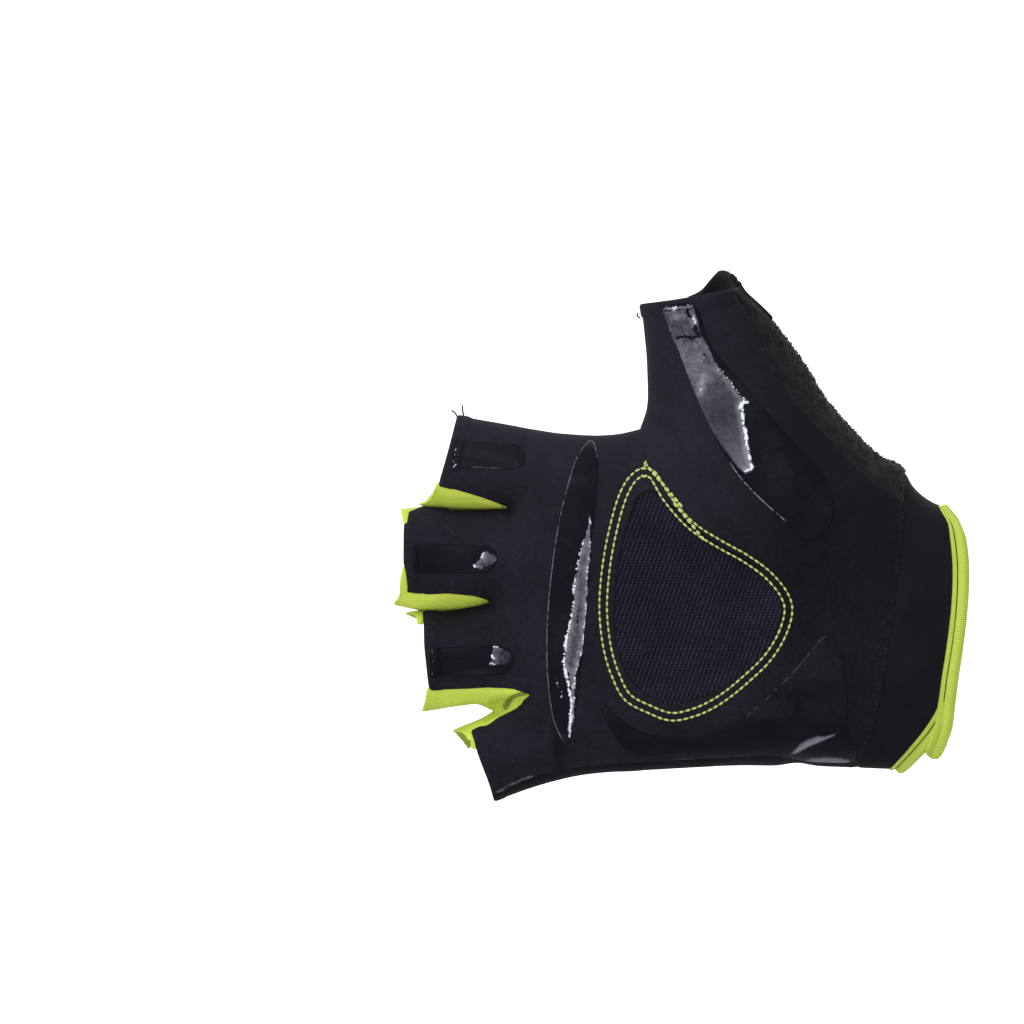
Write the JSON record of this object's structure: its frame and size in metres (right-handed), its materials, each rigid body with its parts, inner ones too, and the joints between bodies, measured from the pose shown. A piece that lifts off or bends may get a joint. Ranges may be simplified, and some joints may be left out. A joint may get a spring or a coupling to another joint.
{
  "type": "fingerless weightlifting glove",
  "caption": "Half-finger training glove in its worn form, with a suede palm, mesh window, silicone grip prints, stretch gussets and a ribbed elastic wrist edge.",
  "frame": {"origin": "centre of the wrist opening, halfway between the palm and the back", "axes": "+X out of the wrist opening towards the forearm, -X towards the fingers, -Y the way the palm faces, +Z towards the thumb"},
  "size_m": [0.132, 0.0402, 0.1218],
  "materials": {
    "suede": "matte synthetic suede with a short nap",
    "stretch": "matte stretch knit",
    "mesh": "bluish black open mesh, slight sheen",
    "terry": "dark looped terry",
    "gusset": "neon yellow-green stretch knit",
    "binding": "neon yellow-green ribbed elastic",
    "silicone": "glossy black printed silicone"
  },
  "bodies": {
    "root": {"palm_panel": "suede", "palm_mesh_inset": "mesh", "back_panel": "stretch", "fourchette_index_middle": "gusset", "fourchette_middle_ring": "gusset", "fourchette_ring_little": "gusset", "thumb_terry_wipe": "terry", "wrist_cuff": "stretch", "wrist_binding": "binding", "grip_palm_bar": "silicone", "grip_thumb": "silicone", "grip_heel": "silicone", "grip_index": "silicone", "grip_middle": "silicone", "grip_ring": "silicone", "thumb_pull_tab": "terry"}
  },
  "joints": []
}
